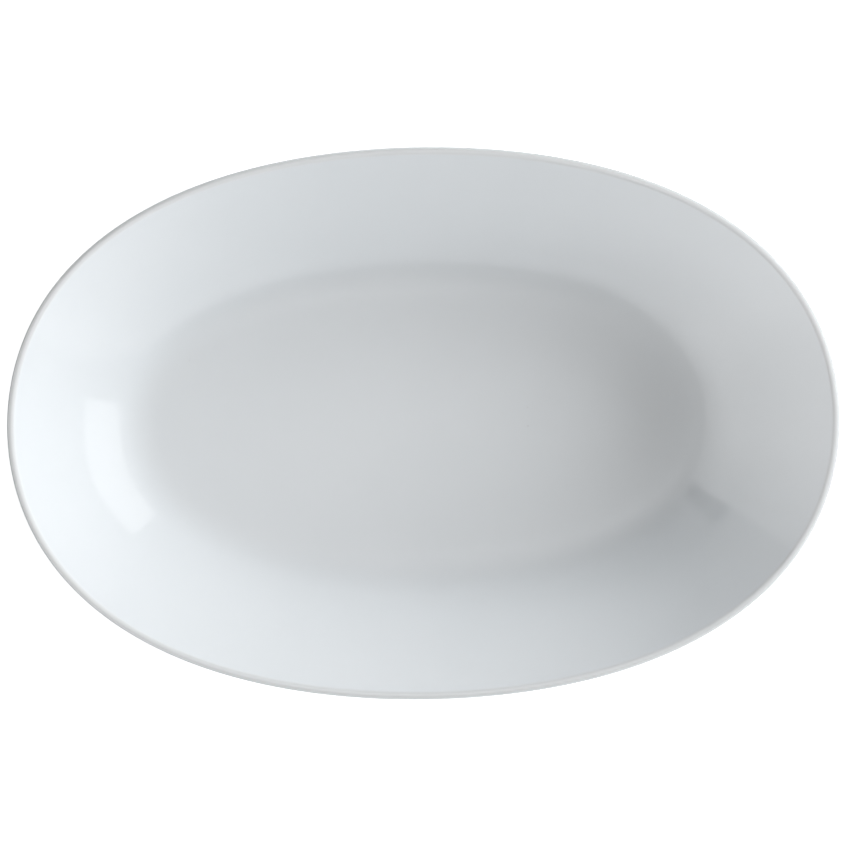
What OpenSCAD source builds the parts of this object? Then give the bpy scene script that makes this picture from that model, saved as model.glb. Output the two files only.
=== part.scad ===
// Deep oval china serving platter: one fired dish, drawn as the layers that it is made of.
// A bisque body carries a luted foot ring, a glaze film on each side, and a printed mark.
// Frame: the table is z = 0, +X runs along the dish, and the origin is under its centre.

/* [Plan] */
// Length over the lip
dish_len = 340; // [300:1:380]
// Width over the lip
dish_wid = 225.5; // [200:0.5:250]
// How far the lip's oval swells past an ellipse, halfway between its axes
lip_swell = 0.031; // [0:0.001:0.05]
// Length of the flat floor
floor_len = 221; // [219:1:240]
// Width of the flat floor
floor_wid = 104; // [102:1:130]
// How far the floor's oval swells past an ellipse, halfway between its axes
floor_swell = 0.031; // [0:0.001:0.05]

/* [Section] */
// Height from the table to the top of the lip
dish_h = 49; // [40:1:60]
// Thickness of the floor, glaze included
floor_t = 5.2; // [4:0.1:7]
// Thickness of the lip, glaze included
lip_t = 3.8; // [3:0.1:5]
// Share of the wall that the curve out of the floor takes, at the ends of the dish
end_knee = 0.35; // [0.1:0.05:0.6]
// Share of the wall that the curve out of the floor takes, at the sides of the dish
side_knee = 0.4; // [0.1:0.05:0.6]
// How much steeper the wall gets between the floor and the lip
steepening = 1; // [0:0.1:2]

/* [Foot] */
// Length of the foot ring, along its centre line
foot_len = 212; // [160:1:214]
// Width of the foot ring, along its centre line
foot_wid = 95; // [80:1:97]
// Height of the foot ring
foot_h = 4; // [3.5:0.1:6]
// Width of the bare band that stands on the table
foot_band = 2.6; // [2:0.1:4]
// Draft of the foot's sides, in degrees
foot_draft = 12; // [5:1:20]

/* [Glaze] */
// Thickness of each glaze film
glaze_t = 0.25; // [0.15:0.05:0.4]
// Height at which the glaze stops on the foot
glaze_line = 1.2; // [0.8:0.1:1.6]
// Length of the printed mark's outline
mark_len = 30; // [20:1:40]

/* [Detail] */
// Number of sides round each oval
sides = 80; // [48:4:88]

/* [Hidden] */

glaze_white = [0.90, 0.92, 0.93];
bisque_white = [0.93, 0.91, 0.87];
print_grey = [0.45, 0.50, 0.54];

arris_r = 0.5;     // rounding at the edges of the foot's bare band
fillet_r = 2;      // slip fillet where the foot meets the underside
fillet_turn = 60;  // how far round that fillet runs before it meets the underside
lip_steps = 3;     // facets in a quarter of the lip
knee_steps = 6;    // facets up the curve out of the floor
wall_steps = 4;    // facets up the rest of the wall
print_t = 0.05;    // thickness of the printed mark
clear = 1;         // how far a cutter runs past what it cuts
nudge = 0.001;     // step over which a surface's directions are measured

// The dish is worked out from its mid surface, which lies halfway through the floor and wall.
mid_floor_z = foot_h - glaze_t + floor_t / 2;
mid_lip_z = dish_h - lip_t / 2;
floor_axes = [floor_len, floor_wid] / 2;
lip_axes = [dish_len - lip_t, dish_wid - lip_t] / 2;
foot_axes = [foot_len, foot_wid] / 2;

function unit(v) = v / norm(v);
function reversed(list) = [for (i = [len(list) - 1 : -1 : 0]) list[i]];
function rest(list) = [for (i = [1 : len(list) - 1]) list[i]];
function angles(n = sides) = [for (i = [0 : n - 1]) 360 * i / n];

// ---- Ovals: an ellipse with half-lengths axes, which may swell between its axes ----

function oval(axes, t, swell) =
    (1 + swell * pow(sin(2 * t), 2)) * [axes.x * cos(t), axes.y * sin(t)];

// A ring that follows an oval of the floor's kind, a distance d outside it, at height z
function offset_ring(axes, d, z, n = sides) =
    [for (t = angles(n))
        let (p = oval(axes, t, floor_swell),
            way = unit(oval(axes, t + nudge, floor_swell) - oval(axes, t - nudge, floor_swell)))
        [p.x + d * way.y, p.y - d * way.x, z]];

// ---- The wall: s runs from 0 at the edge of the floor to 1 at the lip ----

// Share of the wall that the curve out of the floor takes
function knee(t) = end_knee * pow(cos(t), 2) + side_knee * pow(sin(t), 2);

// The wall's slope climbs in a smooth step over the first share w, and then steepens evenly.
// These are that slope's integrals: over a fraction x of the curve, and up to s.
function knee_rise(x, w) =
    w * (pow(x, 3) - pow(x, 4) / 2)
    + steepening * w * w * (3 / 4 * pow(x, 4) - 2 / 5 * pow(x, 5));
function wall_rise(s, w) =
    s < w ? knee_rise(max(s, 0) / w, w)
    : knee_rise(1, w) + (s - w) + steepening * (s * s - w * w) / 2;

function mid_point(s, t) =
    let (p = oval(floor_axes + s * (lip_axes - floor_axes), t,
            floor_swell + s * (lip_swell - floor_swell)),
        climb = wall_rise(s, knee(t)) / wall_rise(1, knee(t)))
    [p.x, p.y, mid_floor_z + climb * (mid_lip_z - mid_floor_z)];

// The direction round the dish, and the upward normal
function round_way(s, t) = unit(mid_point(s, t + nudge) - mid_point(s, t - nudge));
function wall_normal(s, t) =
    unit(cross(mid_point(s + nudge, t) - mid_point(s - nudge, t), round_way(s, t)));

function thickness(s) = floor_t + s * (lip_t - floor_t);

// Where the i-th ring up the wall lies
function stop(i, t) =
    i < knee_steps ? knee(t) * i / knee_steps
    : knee(t) + (1 - knee(t)) * (i - knee_steps) / wall_steps;

// Rings up the dish's surface, set in by depth. side is 1 inside the dish and -1 outside it.
function wall_rings(side, depth) =
    [for (i = [0 : knee_steps + wall_steps - 1])
        [for (t = angles())
            let (s = stop(i, t))
            mid_point(s, t) + side * (thickness(s) / 2 - depth) * wall_normal(s, t)]];

// The lip is a half round. These rings run over it from the wall's edge to its crest.
function lip_rings(side, depth) =
    [for (i = [0 : lip_steps])
        let (turn = 90 * i / lip_steps)
        [for (t = angles())
            let (n = wall_normal(1, t), crest = cross(round_way(1, t), n))
            mid_point(1, t) + (lip_t / 2 - depth) * (side * cos(turn) * n + sin(turn) * crest)]];

function face_rings(side, depth) = concat(wall_rings(side, depth), lip_rings(side, depth));

inside_skin = face_rings(1, 0);
inside_bisque = face_rings(1, glaze_t);
outside_skin = face_rings(-1, 0);
outside_bisque = face_rings(-1, glaze_t);

// ---- The foot: distances from its centre line against height ----

draft_top = foot_h - fillet_r * sin(fillet_turn);
function half_foot(z) = foot_band / 2 + arris_r + (z - arris_r) * tan(foot_draft);

arris_path =
    [for (a = [0 : 30 : 90]) [foot_band / 2 + arris_r * sin(a), arris_r * (1 - cos(a))]];

// From the glaze line to height top, along a fillet of radius r
function side_path(r, top) =
    let (x = half_foot(draft_top) + fillet_r, end = asin((top - draft_top) / r))
    concat([[half_foot(glaze_line) + fillet_r - r, glaze_line]],
        [for (i = [0 : 3]) [x - r * cos(end * i / 3), draft_top + r * sin(end * i / 3)]]);

bisque_path = side_path(fillet_r, foot_h);
glazed_path = side_path(fillet_r - glaze_t, foot_h - glaze_t);

// side is 1 outside the foot's centre line and -1 inside it
function foot_rings(path, side) = [for (p = path) offset_ring(foot_axes, side * p.x, p.y)];

// ---- Solids from rings ----

// Skins a stack of rings. A closed stack joins its last ring to its first; an open one is capped.
module loft(rings, closed = false) {
    m = len(rings);
    n = len(rings[0]);
    skin = [for (i = [0 : m - (closed ? 1 : 2)], j = [0 : n - 1])
        let (a = i * n, b = (i + 1) % m * n, k = (j + 1) % n)
        each [[a + j, b + j, b + k], [a + j, b + k, a + k]]];
    caps = [[for (j = [0 : n - 1]) j], [for (j = [n - 1 : -1 : 0]) (m - 1) * n + j]];
    polyhedron([for (ring = rings) each ring], closed ? skin : concat(skin, caps));
}

module porcelain_body() {
    color(bisque_white)
        loft(concat(outside_bisque, rest(reversed(inside_bisque))));
}

module foot_ring() {
    path = concat(arris_path, bisque_path);
    inner = foot_rings(path, -1);
    below = [for (p = inner[0]) [p.x, p.y, -clear]];
    above = [for (p = inner[len(inner) - 1]) [p.x, p.y, foot_h + clear]];
    color(bisque_white)
        difference() {
            loft(foot_rings(path, 1));
            loft(concat([below], inner, [above]));
        }
}

module inner_glaze() {
    color(glaze_white)
        loft(concat(inside_bisque, reversed(inside_skin)));
}

module outer_glaze() {
    color(glaze_white)
        loft(concat(foot_rings(glazed_path, 1), outside_skin,
            reversed(outside_bisque), reversed(foot_rings(bisque_path, 1))), closed = true);
}

module recess_glaze() {
    color(glaze_white)
        loft(concat(reversed(foot_rings(glazed_path, -1)), foot_rings(bisque_path, -1)));
}

// A plain outline with three bars, printed on the glaze inside the foot
module backstamp() {
    line_w = 0.5;
    bar_w = 1.2;
    bar_lens = [18, 12, 15];
    bar_pitch = 3.6;
    color(print_grey)
        translate([0, 0, foot_h - glaze_t - print_t])
            linear_extrude(print_t) {
                difference() {
                    mark_oval(0);
                    mark_oval(-line_w);
                }
                for (i = [0 : len(bar_lens) - 1])
                    translate([-bar_lens[i], -bar_w] / 2 + [0, bar_pitch * (1 - i)])
                        square([bar_lens[i], bar_w]);
            }
}

module mark_oval(d) {
    polygon([for (p = offset_ring([mark_len / 2, mark_len / 3], d, 0, 48)) [p.x, p.y]]);
}

porcelain_body();
foot_ring();
inner_glaze();
outer_glaze();
recess_glaze();
backstamp();
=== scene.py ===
"""Looks of a deep oval china serving platter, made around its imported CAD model.

The platter is one fired dish. Its looks are smooth pieces, one for each layer of the CAD model:
the bisque body and its foot ring, the glaze inside, outside and under the dish, and a printed
mark. Lengths are in metres and angles in radians unless a name says otherwise.
"""

import math

import bmesh
import bpy
import numpy as np
from mathutils import Matrix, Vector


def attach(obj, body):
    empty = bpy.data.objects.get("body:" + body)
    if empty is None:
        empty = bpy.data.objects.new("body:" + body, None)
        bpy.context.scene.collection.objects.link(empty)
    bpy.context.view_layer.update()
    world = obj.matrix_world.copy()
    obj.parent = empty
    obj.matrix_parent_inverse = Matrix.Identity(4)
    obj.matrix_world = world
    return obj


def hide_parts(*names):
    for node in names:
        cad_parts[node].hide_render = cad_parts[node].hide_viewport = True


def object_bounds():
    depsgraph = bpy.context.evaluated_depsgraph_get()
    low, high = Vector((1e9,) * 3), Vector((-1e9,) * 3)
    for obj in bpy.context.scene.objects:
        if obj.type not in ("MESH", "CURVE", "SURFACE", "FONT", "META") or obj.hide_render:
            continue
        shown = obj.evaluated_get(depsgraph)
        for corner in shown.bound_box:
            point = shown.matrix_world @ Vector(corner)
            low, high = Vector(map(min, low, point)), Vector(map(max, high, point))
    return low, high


MM = 0.001

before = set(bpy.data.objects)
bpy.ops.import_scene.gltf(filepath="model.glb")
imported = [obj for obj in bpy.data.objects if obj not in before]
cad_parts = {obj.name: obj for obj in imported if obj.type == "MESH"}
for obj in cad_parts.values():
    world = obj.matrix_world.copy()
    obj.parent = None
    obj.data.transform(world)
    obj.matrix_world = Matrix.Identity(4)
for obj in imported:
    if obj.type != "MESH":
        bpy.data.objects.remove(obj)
cad_low, cad_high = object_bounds()

# ---- Sizes: the overall ones come from the CAD model, and the rest repeat its values ----

DISH_LEN = cad_high.x - cad_low.x
DISH_WID = cad_high.y - cad_low.y
DISH_H = cad_high.z - cad_low.z
LIP_SWELL = 0.031
FLOOR_LEN = 221 * MM
FLOOR_WID = 104 * MM
FLOOR_SWELL = 0.031
FLOOR_T = 5.2 * MM
LIP_T = 3.8 * MM
END_KNEE = 0.35
SIDE_KNEE = 0.4
STEEPENING = 1.0

FOOT_LEN = 212 * MM
FOOT_WID = 95 * MM
FOOT_H = 4 * MM
FOOT_BAND = 2.6 * MM
FOOT_DRAFT = math.radians(12)
ARRIS_R = 0.5 * MM
FILLET_R = 2 * MM
GLAZE_T = 0.25 * MM
GLAZE_LINE = 1.2 * MM
GLAZE_ROLL = 0.7 * MM       # length over which the glaze thins to nothing at its edge on the foot

MARK_LEN = 30 * MM
MARK_WID = 20 * MM
MARK_LINE = 0.5 * MM
MARK_T = 0.05 * MM
BAR_LENS = [18 * MM, 12 * MM, 15 * MM]
BAR_WID = 1.2 * MM
BAR_PITCH = 3.6 * MM

# How finely the smooth pieces are cut
COLUMNS = 384
FLOOR_ROWS = 10
KNEE_ROWS = 24
WALL_ROWS = 20
LIP_ROWS = 12
ARRIS_ROWS = 5
SIDE_ROWS = 8
SIDE_CROWDING = 1.5         # over 1 brings the side's rows closer together at the glaze line
FILLET_ROWS = 8
MARK_COLUMNS = 192
NUDGE = 1e-4                # step over which a surface's directions are measured

MID_FLOOR_Z = FOOT_H - GLAZE_T + FLOOR_T / 2
MID_LIP_Z = DISH_H - LIP_T / 2
FLOOR_AXES = np.array([FLOOR_LEN, FLOOR_WID]) / 2
LIP_AXES = np.array([DISH_LEN - LIP_T, DISH_WID - LIP_T]) / 2
FOOT_AXES = np.array([FOOT_LEN, FOOT_WID]) / 2
MARK_AXES = np.array([MARK_LEN, MARK_WID]) / 2
AROUND = np.arange(COLUMNS) * 2 * math.pi / COLUMNS
QUARTER = math.pi / 2


# ---- Ovals and the wall's curve ----

def unit(v):
    return v / np.linalg.norm(v, axis=-1, keepdims=True)


def oval(axes, t, swell):
    """Points of an oval: an ellipse with half-lengths axes, which swells between its axes."""
    bulge = 1 + swell * np.sin(2 * t) ** 2
    return np.stack([axes[..., 0] * np.cos(t) * bulge, axes[..., 1] * np.sin(t) * bulge], -1)


def oval_outward(axes, t, swell):
    """The direction out of an oval, square to it."""
    way = unit(oval(axes, t + NUDGE, swell) - oval(axes, t - NUDGE, swell))
    return np.stack([way[..., 1], -way[..., 0]], -1)


def knee(t):
    """The share of the wall that the curve out of the floor takes."""
    return END_KNEE * np.cos(t) ** 2 + SIDE_KNEE * np.sin(t) ** 2


def knee_rise(x, w):
    """Height gained over a fraction x of the curve out of the floor, which has width w."""
    return w * (x**3 - x**4 / 2) + STEEPENING * w**2 * (3 / 4 * x**4 - 2 / 5 * x**5)


def wall_rise(s, w):
    """Height gained up to s: the slope climbs in a smooth step over w, then steepens evenly."""
    above = np.maximum(s, w)
    return (knee_rise(np.clip(s / w, 0, 1), w)
            + (above - w) + STEEPENING * (above**2 - w**2) / 2)


def mid_point(s, t):
    """The surface halfway through the wall. s is 0 at the edge of the floor and 1 at the lip."""
    axes = FLOOR_AXES + s[..., None] * (LIP_AXES - FLOOR_AXES)
    plan = oval(axes, t, FLOOR_SWELL + s * (LIP_SWELL - FLOOR_SWELL))
    w = knee(t)
    climb = wall_rise(s, w) / wall_rise(np.ones_like(s), w)
    z = MID_FLOOR_Z + climb * (MID_LIP_Z - MID_FLOOR_Z)
    return np.concatenate([plan, z[..., None]], -1)


def wall_directions(s, t):
    """The direction round the dish, and the upward normal."""
    round_way = unit(mid_point(s, t + NUDGE) - mid_point(s, t - NUDGE))
    up_wall = mid_point(s + NUDGE, t) - mid_point(s - NUDGE, t)
    return round_way, unit(np.cross(up_wall, round_way))


# ---- Skins: rows of points round the dish, each point with its true normal ----

class Skin:
    """Rows of points, each row once round the dish, and a normal for each point."""

    def __init__(self, points, normals):
        self.points = np.asarray(points, float)
        self.normals = np.broadcast_to(normals, self.points.shape)

    def __add__(self, other):
        return Skin(np.concatenate([self.points, other.points]),
                    np.concatenate([self.normals, other.normals]))

    def reversed(self):
        """The same skin with its rows the other way round."""
        return Skin(self.points[::-1], self.normals[::-1])

    def facing_back(self):
        """The same skin as the back of a film, which faces the body."""
        return Skin(self.points, -self.normals)


def shares(count):
    """Even steps from 0 up to, but not including, 1, as a column."""
    return (np.arange(count) / count)[:, None]


def wall_skin(side, depth):
    """The wall and half the lip, from the floor's edge up, set in by depth. side is 1 or -1,
    inside or outside the dish."""
    w = knee(AROUND)
    s = np.concatenate([shares(KNEE_ROWS) * w, w + shares(WALL_ROWS) * (1 - w)])
    _, normal = wall_directions(s, AROUND)
    half = (FLOOR_T + s * (LIP_T - FLOOR_T)) / 2 - depth
    wall = Skin(mid_point(s, AROUND) + side * half[..., None] * normal, side * normal)

    s = np.ones((LIP_ROWS + 1, COLUMNS))
    turn = np.linspace(0, QUARTER, LIP_ROWS + 1)[:, None, None]
    round_way, normal = wall_directions(s, AROUND)
    out = side * np.cos(turn) * normal + np.sin(turn) * np.cross(round_way, normal)
    return wall + Skin(mid_point(s, AROUND) + (LIP_T / 2 - depth) * out, out)


def flat_skin(edge, facing):
    """A flat middle, from near its centre out to just inside its edge. facing is 1 or -1."""
    inner = np.array([0, 0, edge[0, 2]])
    points = inner + shares(FLOOR_ROWS)[1:, :, None] * (edge - inner)
    return Skin(points, [0, 0, facing])


def foot_skin(profile, side):
    """Sweeps a profile round the foot's centre line. side is 1 or -1, outside or inside it.

    Each row of the profile is a distance from the line, a height, and the normal's two parts.
    """
    line = oval(FOOT_AXES, AROUND, FLOOR_SWELL)
    outward = side * oval_outward(FOOT_AXES, AROUND, FLOOR_SWELL)
    points = [np.column_stack([line + x * outward, np.full(COLUMNS, z)]) for x, z, _, _ in profile]
    normals = [np.column_stack([nx * outward, np.full(COLUMNS, nz)]) for _, _, nx, nz in profile]
    return Skin(points, normals)


# ---- The foot's profile ----

def half_foot(z):
    return FOOT_BAND / 2 + ARRIS_R + (z - ARRIS_R) * math.tan(FOOT_DRAFT)


def arris_profile():
    """The foot's rounded lower edge."""
    turns = np.linspace(0, QUARTER, ARRIS_ROWS + 1)
    return [[FOOT_BAND / 2 + ARRIS_R * math.sin(turn), ARRIS_R * (1 - math.cos(turn)),
             math.sin(turn), -math.cos(turn)] for turn in turns]


def side_profile(depth):
    """The foot's side above the glaze line and the fillet over it, set out by depth.

    A film's edge is rounded: its depth grows from nothing at the glaze line.
    """
    radius = FILLET_R - depth
    centre_z = FOOT_H - FILLET_R
    centre_x = half_foot(centre_z) + FILLET_R / math.cos(FOOT_DRAFT)
    top = centre_z + radius * math.sin(FOOT_DRAFT)
    rows = []
    for share in shares(SIDE_ROWS)[:, 0] ** SIDE_CROWDING:
        z = GLAZE_LINE + share * (top - GLAZE_LINE)
        thin = max(0, 1 - (z - GLAZE_LINE) / GLAZE_ROLL)
        grown = depth * math.sqrt(1 - thin**2)
        tilt = FOOT_DRAFT + (QUARTER - FOOT_DRAFT) * thin * bool(depth)
        rows.append([half_foot(z) + grown / math.cos(FOOT_DRAFT), z,
                     math.cos(tilt), -math.sin(tilt)])
    for turn in np.linspace(FOOT_DRAFT, QUARTER, FILLET_ROWS + 1):
        rows.append([centre_x - radius * math.cos(turn), centre_z + radius * math.sin(turn),
                     math.cos(turn), -math.sin(turn)])
    return rows


# ---- Meshes from skins ----

def strip_faces(index, loop):
    """Quads between rows of vertex numbers. A loop also joins its last row to its first."""
    onward = np.roll(index, -1, axis=0)
    quads = np.stack([index, onward, np.roll(onward, -1, axis=1), np.roll(index, -1, axis=1)], -1)
    kept = quads if loop else quads[:-1]
    return kept.reshape(-1, 4).tolist()


def solid(name, skin, material, slot, *replaced, poles=True):
    """A closed smooth piece. Its rows run from pole to pole, or in a loop if it has no poles."""
    rows = len(skin.points)
    index = np.arange(rows * COLUMNS).reshape(rows, COLUMNS)
    faces = strip_faces(index, loop=not poles)
    points = skin.points.reshape(-1, 3)
    normals = skin.normals.reshape(-1, 3)
    if poles:
        ends = np.array([[0, 0, skin.points[0, 0, 2]], [0, 0, skin.points[-1, 0, 2]]])
        points = np.concatenate([points, ends])
        normals = np.concatenate([normals, [skin.normals[0, 0], skin.normals[-1, 0]]])
        first, last = rows * COLUMNS, rows * COLUMNS + 1
        beside = np.roll(index, -1, axis=1)
        faces += [[first, index[0, j], beside[0, j]] for j in range(COLUMNS)]
        faces += [[last, beside[-1, j], index[-1, j]] for j in range(COLUMNS)]

    mesh = bpy.data.meshes.new(name)
    mesh.from_pydata(points.tolist(), [], faces)
    mesh.shade_smooth()
    mesh.normals_split_custom_set_from_vertices(normals.tolist())
    place(name, mesh, material, slot, *replaced)


def place(name, mesh, material, slot, *replaced):
    """Puts a mesh on the platter in the place of its CAD nodes."""
    mesh.materials.append(material)
    piece = bpy.data.objects.new(name, mesh)
    bpy.context.scene.collection.objects.link(piece)
    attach(piece, "root")
    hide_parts(*replaced)


# ---- The pieces: each is skins in a row, which together close ----

def make_body(material):
    inside = wall_skin(1, GLAZE_T)
    outside = wall_skin(-1, GLAZE_T)
    below = flat_skin(outside.points[0], -1) + outside
    skin = (flat_skin(inside.points[0], 1) + inside
            + Skin(below.points[:-1], below.normals[:-1]).reversed())
    solid("body_bisque", skin, material, "bisque", "porcelain_body")


def make_foot(material):
    profile = arris_profile() + side_profile(0)
    skin = foot_skin(profile, 1).reversed() + foot_skin(profile, -1)
    solid("foot_bisque", skin, material, "bisque", "foot_ring", poles=False)


def make_inner_glaze(material):
    front = wall_skin(1, 0)
    back = wall_skin(1, GLAZE_T)
    skin = (flat_skin(front.points[0], 1) + front
            + (flat_skin(back.points[0], 1) + back).reversed().facing_back())
    solid("glaze_inside", skin, material, "glaze", "inner_glaze")


def make_outer_glaze(material):
    front = foot_skin(side_profile(GLAZE_T), 1) + wall_skin(-1, 0)
    back = foot_skin(side_profile(0)[1:], 1) + wall_skin(-1, GLAZE_T)
    skin = front.reversed() + back.facing_back()
    solid("glaze_outside", skin, material, "glaze", "outer_glaze", poles=False)


def make_recess_glaze(material):
    front = foot_skin(side_profile(GLAZE_T), -1)
    back = foot_skin(side_profile(0)[1:], -1)
    skin = (flat_skin(back.points[-1], -1).facing_back() + back.reversed().facing_back()
            + front + flat_skin(front.points[-1], -1).reversed())
    solid("glaze_recess", skin, material, "glaze", "recess_glaze")


def make_mark(material):
    """A plain oval line round three bars, printed on the glaze inside the foot."""
    around = np.arange(MARK_COLUMNS) * 2 * math.pi / MARK_COLUMNS
    edge = oval(MARK_AXES, around, FLOOR_SWELL)
    inner = edge - MARK_LINE * oval_outward(MARK_AXES, around, FLOOR_SWELL)
    top = FOOT_H - GLAZE_T
    mesh = bmesh.new()
    rings = [[mesh.verts.new((x, y, z)) for x, y in ring]
             for ring, z in ((edge, top), (edge, top - MARK_T), (inner, top - MARK_T), (inner, top))]
    for low, high in zip(rings, rings[1:] + rings[:1]):
        for j in range(MARK_COLUMNS):
            mesh.faces.new([low[j], low[j - 1], high[j - 1], high[j]])
    for i, length in enumerate(BAR_LENS):
        middle = Matrix.Translation((0, BAR_PITCH * (1 - i), top - MARK_T / 2))
        size = Matrix.Diagonal((length, BAR_WID, MARK_T, 1))
        bmesh.ops.create_cube(mesh, size=1, matrix=middle @ size)
    bmesh.ops.recalc_face_normals(mesh, faces=mesh.faces)
    data = bpy.data.meshes.new("mark_print")
    mesh.to_mesh(data)
    mesh.free()
    place("mark_print", data, material, "print", "backstamp")


# ---- Node trees ----

# A Mix node's sockets share their names, so they are found by their places
MIX_NUMBERS = (2, 3)
MIX_NUMBER_RESULT = 0
MIX_COLOURS = (6, 7)
MIX_COLOUR_RESULT = 2


class Nodes:
    """Builds the node tree of a material or a world in short lines."""

    def __init__(self, owner, shader, coordinates):
        owner.use_nodes = True
        self.owner = owner
        self.tree = owner.node_tree
        self.shader = self.tree.nodes[shader]
        self.coordinates = self.node("ShaderNodeTexCoord").outputs[coordinates]

    def node(self, kind, **settings):
        made = self.tree.nodes.new(kind)
        for name, value in settings.items():
            setattr(made, name, value)
        return made

    def put(self, socket, value):
        """Links a socket to another node's output, or sets it to a plain value."""
        if isinstance(value, bpy.types.NodeSocket):
            self.tree.links.new(value, socket)
        else:
            socket.default_value = value

    def noise(self, size, detail=3, roughness=0.5):
        """Noise with features of about the given size, in metres."""
        made = self.node("ShaderNodeTexNoise")
        self.put(made.inputs["Vector"], self.coordinates)
        self.put(made.inputs["Scale"], 1 / size)
        self.put(made.inputs["Detail"], detail)
        self.put(made.inputs["Roughness"], roughness)
        return made.outputs["Fac"]

    def ramp(self, value, low, high, to_low=0.0, to_high=1.0):
        """A smooth step from to_low, where value is low, to to_high, where it is high."""
        made = self.node("ShaderNodeMapRange", interpolation_type="SMOOTHSTEP")
        for name, number in (("Value", value), ("From Min", low), ("From Max", high),
                             ("To Min", to_low), ("To Max", to_high)):
            self.put(made.inputs[name], number)
        return made.outputs["Result"]

    def math(self, operation, *values):
        made = self.node("ShaderNodeMath", operation=operation)
        for socket, value in zip(made.inputs, values):
            self.put(socket, value)
        return made.outputs["Value"]

    def total(self, *values):
        result = values[0]
        for value in values[1:]:
            result = self.math("ADD", result, value)
        return result

    def axes(self):
        """The coordinates X, Y and Z. In a material, Z is the height above the table."""
        made = self.node("ShaderNodeSeparateXYZ")
        self.put(made.inputs["Vector"], self.coordinates)
        return made.outputs

    def mix(self, share, first, second):
        """Mixes two colours."""
        made = self.node("ShaderNodeMix", data_type="RGBA")
        self.put(made.inputs["Factor"], share)
        for socket, value in zip(MIX_COLOURS, (first, second)):
            self.put(made.inputs[socket], value)
        return made.outputs[MIX_COLOUR_RESULT]

    def choose(self, share, first, second):
        """Mixes two numbers."""
        made = self.node("ShaderNodeMix", data_type="FLOAT")
        self.put(made.inputs["Factor"], share)
        for socket, value in zip(MIX_NUMBERS, (first, second)):
            self.put(made.inputs[socket], value)
        return made.outputs[MIX_NUMBER_RESULT]

    def bump(self, *layers):
        """Bumps, each a height pattern and how far it stands out, in metres."""
        normal = None
        for pattern, depth in layers:
            made = self.node("ShaderNodeBump")
            self.put(made.inputs["Height"], pattern)
            self.put(made.inputs["Distance"], depth)
            if normal:
                self.put(made.inputs["Normal"], normal)
            normal = made.outputs["Normal"]
        self.set("Normal", normal)

    def specks(self, spacing, radius, kept):
        """Sparse round specks: 1 on a speck and 0 off it. kept is the share of cells with one."""
        cells = self.node("ShaderNodeTexVoronoi")
        self.put(cells.inputs["Vector"], self.coordinates)
        self.put(cells.inputs["Scale"], 1 / spacing)
        reach = radius / spacing
        spot = self.ramp(cells.outputs["Distance"], reach * 0.5, reach, 1.0, 0.0)
        chosen = self.node("ShaderNodeSeparateColor")
        self.put(chosen.inputs["Color"], cells.outputs["Color"])
        lot = self.math("LESS_THAN", chosen.outputs["Red"], kept)
        return self.math("MULTIPLY", spot, lot)

    def set(self, name, value):
        self.put(self.shader.inputs[name], value)


def material_nodes(name):
    return Nodes(bpy.data.materials.new(name), "Principled BSDF", "Object")


# ---- The glaze ----

# In the materials, unless a comment says otherwise, a pair of lengths is the size of a bump's
# pattern and how far it stands out, and a pair of plain numbers is a range of roughness. Where
# ramp() reads noise, its second and third values are where the noise counts as low and as high.

GLAZE_COLOUR = (0.672, 0.703, 0.727, 1)
GLAZE_COLOUR_DEEP = (0.660, 0.692, 0.716, 1)
GLAZE_COLOUR_THIN = (0.720, 0.717, 0.700, 1)
DRIFT_SIZE = 60 * MM        # size of the patches of deeper colour
LIP_BAND = 1 * MM           # height of the band at the lip where the glaze is thinner
LIP_THINNING = 0.35
GLAZE_IOR = 1.5
GLAZE_ROUGHNESS = (0.02, 0.04)
DULL_SIZE = 9 * MM          # size of the slightly duller patches
WAVE = (34 * MM, 0.06 * MM)
PEEL = (3 * MM, 0.0016 * MM)
SPECKS = ((11 * MM, 0.28 * MM, 0.05), (17 * MM, 0.45 * MM, 0.02))   # spacing, radius, share kept
SPECK_COLOUR = (0.30, 0.29, 0.27, 1)
SPECK_STRENGTH = 0.55
SPECK_DEPTH = 0.02 * MM


def glaze_material():
    """Cool white gloss glaze: slow waves, faint peel, a warmer thin edge, and a few specks."""
    nodes = material_nodes("glaze")
    drift = nodes.ramp(nodes.noise(DRIFT_SIZE), 0.35, 0.65)
    body = nodes.mix(drift, GLAZE_COLOUR, GLAZE_COLOUR_DEEP)
    height = nodes.axes()["Z"]
    thin_foot = nodes.ramp(height, GLAZE_LINE, GLAZE_LINE + GLAZE_ROLL, 1.0, 0.0)
    thin_lip = nodes.ramp(height, DISH_H - LIP_BAND, DISH_H, 0.0, LIP_THINNING)
    thinned = nodes.mix(nodes.math("MAXIMUM", thin_foot, thin_lip), body, GLAZE_COLOUR_THIN)
    speck = nodes.math("MAXIMUM", *(nodes.specks(*kind) for kind in SPECKS))
    spotted = nodes.math("MULTIPLY", speck, SPECK_STRENGTH)
    nodes.set("Base Color", nodes.mix(spotted, thinned, SPECK_COLOUR))
    nodes.set("Roughness", nodes.ramp(nodes.noise(DULL_SIZE, detail=5), 0.35, 0.7, *GLAZE_ROUGHNESS))
    nodes.set("IOR", GLAZE_IOR)
    nodes.bump((nodes.noise(WAVE[0], detail=1), WAVE[1]),
               (nodes.noise(PEEL[0], detail=2), PEEL[1]),
               (speck, SPECK_DEPTH))
    return nodes.owner


# ---- The bare porcelain ----

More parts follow.
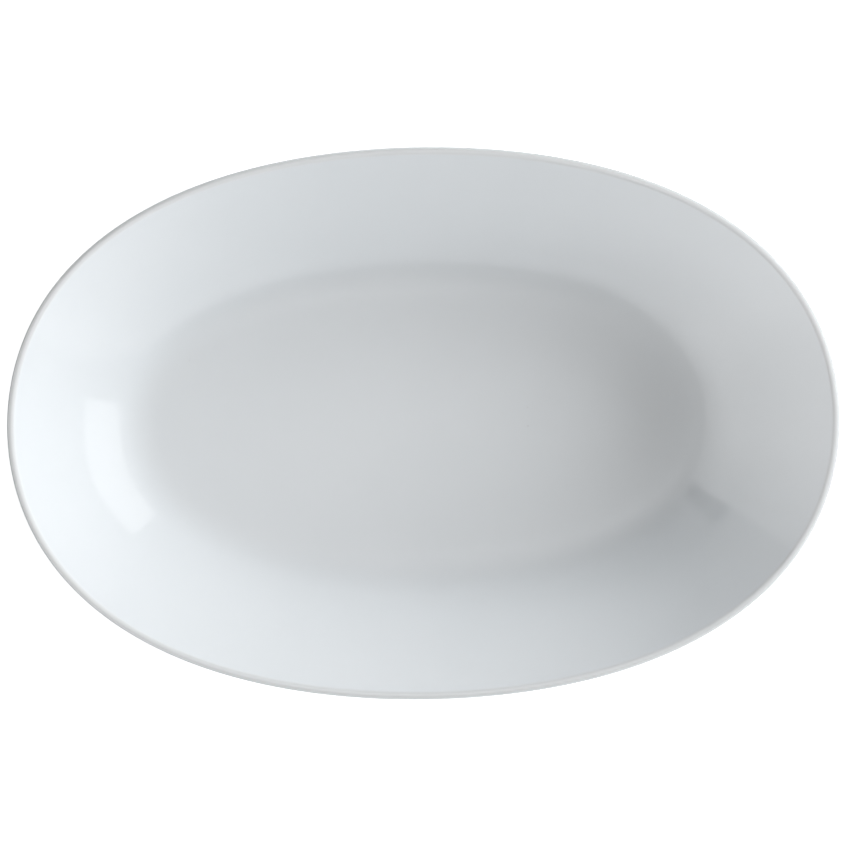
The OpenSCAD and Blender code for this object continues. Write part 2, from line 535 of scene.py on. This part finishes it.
BISQUE_COLOUR = (0.74, 0.70, 0.62, 1)
BISQUE_COLOUR_LIGHT = (0.80, 0.77, 0.70, 1)
BISQUE_ROUGHNESS = (0.62, 0.8)
GRAIN = (0.35 * MM, 0.012 * MM)
UNEVEN = (1.4 * MM, 0.02 * MM)
RUBBED_COLOUR = (0.42, 0.40, 0.37, 1)
RUBBED_SIZE = 6 * MM        # size of the patches that are rubbed grey
RUBBED_UP_TO = (0.03 * MM, 0.35 * MM)    # heights between which the rubbed grey fades out
RUBBED_STRENGTH = 0.75


def bisque_material():
    """Bare fired porcelain: fine matte grain, and a greyed band where it rubs on the table."""
    nodes = material_nodes("bisque")
    grain = nodes.noise(GRAIN[0], detail=4, roughness=0.65)
    tone = nodes.mix(nodes.ramp(grain, 0.3, 0.7), BISQUE_COLOUR, BISQUE_COLOUR_LIGHT)
    patches = nodes.ramp(nodes.noise(RUBBED_SIZE, detail=6, roughness=0.7), 0.42, 0.62)
    low = nodes.ramp(nodes.axes()["Z"], *RUBBED_UP_TO, RUBBED_STRENGTH, 0.0)
    nodes.set("Base Color", nodes.mix(nodes.math("MULTIPLY", patches, low), tone, RUBBED_COLOUR))
    nodes.set("Roughness", nodes.ramp(grain, 0.3, 0.7, *BISQUE_ROUGHNESS))
    nodes.bump((grain, GRAIN[1]), (nodes.noise(UNEVEN[0]), UNEVEN[1]))
    return nodes.owner


# ---- The printed mark ----

PRINT_COLOUR = (0.10, 0.13, 0.17, 1)
PRINT_COLOUR_PALE = (0.22, 0.26, 0.31, 1)
PALE_SIZE = 0.5 * MM        # size of the patches where the print is paler
PRINT_ROUGHNESS = (0.1, 0.18)
PRINT_DULL_SIZE = 2 * MM
PRINT_WAVE = (3 * MM, 0.004 * MM)


def print_material():
    """Grey-blue print under gloss, slightly uneven where the colour took less well."""
    nodes = material_nodes("print")
    uneven = nodes.ramp(nodes.noise(PALE_SIZE, detail=5, roughness=0.7), 0.35, 0.7)
    nodes.set("Base Color", nodes.mix(uneven, PRINT_COLOUR, PRINT_COLOUR_PALE))
    nodes.set("Roughness", nodes.ramp(nodes.noise(PRINT_DULL_SIZE), 0.3, 0.7, *PRINT_ROUGHNESS))
    nodes.bump((nodes.noise(PRINT_WAVE[0]), PRINT_WAVE[1]))
    return nodes.owner


# ---- The platter ----

glaze = glaze_material()
bisque = bisque_material()
make_body(bisque)
make_foot(bisque)
make_inner_glaze(glaze)
make_outer_glaze(glaze)
make_recess_glaze(glaze)
make_mark(print_material())


# ---- The floor ----

FLOOR_SPAN = 24
FLOOR_COLOUR = (0.9, 0.9, 0.9, 1)
FLOOR_ROUGHNESS = 0.9
FLOOR_SPECULAR = 0.1
FLOOR_GLOW = 0.7


def make_floor():
    """A plain white table top, which glows a little as a lit sweep does. It sends no light up to
    matt surfaces."""
    half = FLOOR_SPAN / 2
    mesh = bpy.data.meshes.new("floor")
    corners = [(-half, -half, 0), (half, -half, 0), (half, half, 0), (-half, half, 0)]
    mesh.from_pydata(corners, [], [(0, 1, 2, 3)])
    nodes = material_nodes("floor")
    nodes.set("Base Color", FLOOR_COLOUR)
    nodes.set("Roughness", FLOOR_ROUGHNESS)
    nodes.set("Specular IOR Level", FLOOR_SPECULAR)
    nodes.set("Emission Color", FLOOR_COLOUR)
    nodes.set("Emission Strength", FLOOR_GLOW)
    mesh.materials.append(nodes.owner)
    floor = bpy.data.objects.new("floor", mesh)
    bpy.context.scene.collection.objects.link(floor)
    floor.visible_diffuse = False


# ---- The studio: soft lights all round the table, far enough away to fill the room ----

# Each light fills a window of sky: the azimuth of its middle, half its width, and how softly it
# ends at its sides, then its lowest and highest elevation and how softly it ends there, all in
# degrees, and its brightness, where 1 is display white. A negative brightness darkens what is
# behind it. Azimuth 0 is +X and 90 is +Y.
GLOSS_LIGHTS = [
    # name         middle  half  soft  from    to  soft  brightness
    ("left_sweep",    197,   51,   71,  -10,   51,   97,  4.7),
    ("window",         17,   29,    1, 17.5,   26,    1,  1.7),
    ("window_top",     13,   25,    2,   26,   38,  1.5,  0.3),
    ("far_wall",       86,   20,   25,  -10,   14,   26,  1.0),
    ("doorway",       138,    4,    1, 17.6,   46,    1, -0.8),
    ("above_rail",      0,  190,    2,   20,   95,    2,  0.25),
]
WALLS = ("walls",     238,   96,    3,  -10,   95,    2,  0.7)
MATT_LIGHTS = [
    ("key",            16,   36,  235,  9.2,   28,    3, 10.8),
    ("near_fill",     250,   30,   24,  -10,   30,   20,  1.4),
]
SKY_RISE = (16, 117)        # elevations between which the sky brightens, so it still does overhead
SKY_BRIGHTNESS = 4.1
LOWER_EDGE = 1              # softness of every light's lower edge, in degrees
CEILING_LEFT = -0.49        # where the ceiling meets the brighter walls: a slope, along over up
CEILING_NEAR = -1.45        # the same at its near edge: across over up
CEILING_SOFT = 0.012        # half the softness of those edges
HORIZON = 0.012             # the least height used for those slopes
GLOSS_GREY = 0.6
MATT_GREY = 0.21
BACKDROP_GREY = 0.93        # what the camera sees past the floor


def soft_window(nodes, azimuth, elevation, row):
    """One light of the tables above, as a node value."""
    _, middle, half, soft, low, high, rise, brightness = row
    turn = nodes.math("WRAP", nodes.math("SUBTRACT", azimuth, middle), 180, -180)
    across = nodes.ramp(nodes.math("ABSOLUTE", turn), half - soft / 2, half + soft / 2, 1.0, 0.0)
    up = nodes.ramp(elevation, high - rise / 2, high + rise / 2, brightness, 0.0)
    over = nodes.ramp(elevation, low - LOWER_EDGE, low, 0.0, 1.0)
    return nodes.math("MULTIPLY", nodes.math("MULTIPLY", across, up), over)


def make_room():
    """Lights the scene from all round. Gloss shows the room, and matt surfaces are lit by the few
    lights that carry it."""
    world = bpy.data.worlds.new("room")
    bpy.context.scene.world = world
    nodes = Nodes(world, "Background", "Generated")
    axes = nodes.axes()
    azimuth = nodes.math("DEGREES", nodes.math("ARCTAN2", axes["Y"], axes["X"]))
    elevation = nodes.math("DEGREES", nodes.math("ARCSINE", axes["Z"]))

    up = nodes.math("MAXIMUM", axes["Z"], HORIZON)
    inside = [nodes.ramp(nodes.math("DIVIDE", axis, up), edge - CEILING_SOFT, edge + CEILING_SOFT)
              for axis, edge in ((axes["X"], CEILING_LEFT), (axes["Y"], CEILING_NEAR))]
    ceiling = nodes.math("MULTIPLY", *inside)
    walls = nodes.choose(ceiling, soft_window(nodes, azimuth, elevation, WALLS), 0.0)
    sky = nodes.ramp(elevation, *SKY_RISE, GLOSS_GREY, GLOSS_GREY + SKY_BRIGHTNESS)
    gloss = nodes.total(walls, sky,
                        *(soft_window(nodes, azimuth, elevation, row) for row in GLOSS_LIGHTS))
    matt = nodes.total(MATT_GREY,
                       *(soft_window(nodes, azimuth, elevation, row) for row in MATT_LIGHTS))

    ray = nodes.node("ShaderNodeLightPath").outputs
    lit = nodes.choose(ray["Is Glossy Ray"], matt, gloss)
    nodes.set("Strength", nodes.choose(ray["Is Camera Ray"], lit, BACKDROP_GREY))
    nodes.set("Color", (1, 1, 1, 1))


make_floor()
make_room()


# ---- The camera: straight above the dish ----

CAMERA_HEIGHT = 1.12
CAMERA_SHIFT = (0.25 * MM, -0.3 * MM)    # how far it stands off the dish's centre
CAMERA_TURN = math.radians(-0.905)
CAMERA_LENS = 111.6         # in millimetres, as is the sensor
CAMERA_SENSOR = 36

camera = bpy.data.objects.new("camera", bpy.data.cameras.new("camera"))
camera.data.sensor_width = CAMERA_SENSOR
camera.data.lens = CAMERA_LENS
camera.location = (*CAMERA_SHIFT, CAMERA_HEIGHT)
camera.rotation_euler = (0, 0, CAMERA_TURN)
bpy.context.scene.collection.objects.link(camera)
bpy.context.scene.camera = camera
bpy.context.scene.view_settings.view_transform = "Standard"
